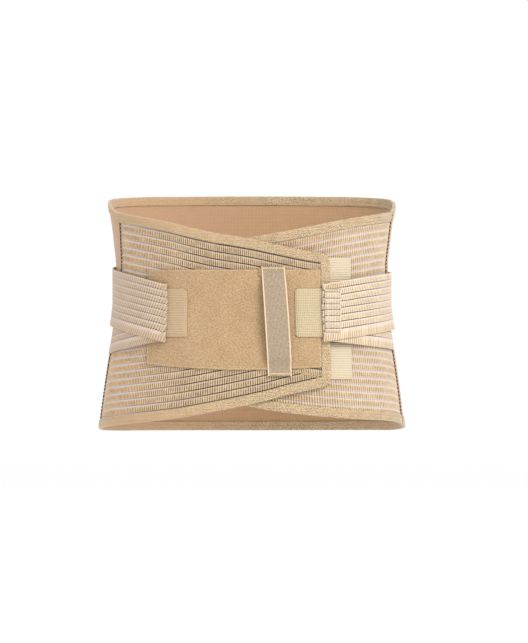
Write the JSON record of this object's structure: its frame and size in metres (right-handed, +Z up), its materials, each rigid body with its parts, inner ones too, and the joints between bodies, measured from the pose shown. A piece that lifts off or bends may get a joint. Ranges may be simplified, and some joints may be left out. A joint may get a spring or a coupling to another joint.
{
  "type": "lumbar support belt",
  "caption": "Elastic lumbar support belt with overlapping mesh front panels, velour patch, finger loop and crossed tension straps, closed round the waist.",
  "frame": {"origin": "middle of the waist hollow, at its narrowest level", "axes": "+Z up along the wearer's body, +X towards the wearer's left, the front faces -Y"},
  "size_m": [0.3314, 0.2452, 0.26],
  "materials": {
    "elastic_mesh": "ribbed elastic knit with open rows, matt",
    "back_knit": "smooth fine knit, matt",
    "edge_binding": "fine knitted tape folded round the edge, matt",
    "velour": "brushed loop pile, matt",
    "hook_tape": "fine moulded hooks in rows, slightly shiny",
    "webbing": "woven webbing with corded edges, matt",
    "strap_mesh": "ribbed elastic knit with open rows, matt"
  },
  "bodies": {
    "root": {"back_panel": "back_knit", "binding_back_bottom": "edge_binding", "binding_back_top": "edge_binding", "binding_front_inner": "edge_binding", "binding_front_outer": "edge_binding", "closure_hook_tab_lower": "hook_tape", "closure_hook_tab_upper": "hook_tape", "finger_loop": "webbing", "finger_loop_hem": "webbing", "front_panel_inner": "elastic_mesh", "front_panel_outer": "elastic_mesh", "left_strap_hook_tab": "hook_tape", "left_strap_lower_band": "strap_mesh", "left_strap_upper_band": "strap_mesh", "loop_fastener_patch": "velour", "right_strap_hook_tab": "hook_tape", "right_strap_lower_band": "strap_mesh", "right_strap_upper_band": "strap_mesh"}
  },
  "joints": []
}
